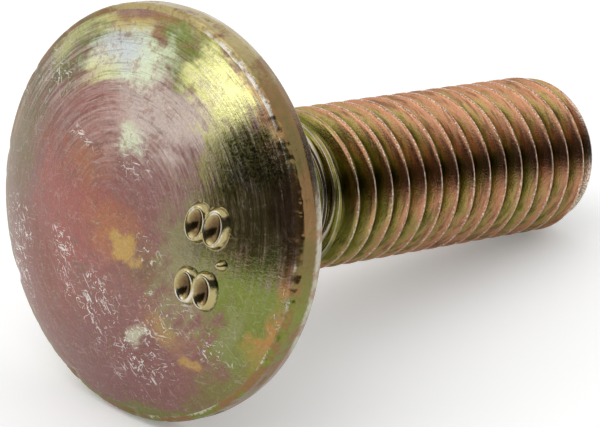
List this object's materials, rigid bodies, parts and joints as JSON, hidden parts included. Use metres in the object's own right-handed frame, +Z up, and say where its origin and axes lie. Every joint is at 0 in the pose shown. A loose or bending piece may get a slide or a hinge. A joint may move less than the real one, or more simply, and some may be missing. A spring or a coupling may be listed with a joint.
{
  "type": "carriage bolt",
  "caption": "Steel carriage bolt with a low domed head, a square neck that stops it turning and a right-hand metric thread.",
  "frame": {"origin": "on the surface that the bolt lies on, under the middle of its bounding box", "axes": "+Z up; +Y along the bolt from its head to its point, seen from above (the shank slopes down 13 degrees to the point); +X to the right when looking along +Y"},
  "size_m": [0.0246, 0.0394, 0.0242],
  "materials": {
    "zinc_plate": "steel with yellow chromated zinc plate, satin, with iridescent rose and green patches and bare worn edges"
  },
  "bodies": {
    "root": {"carriage_bolt": "zinc_plate"}
  },
  "joints": []
}
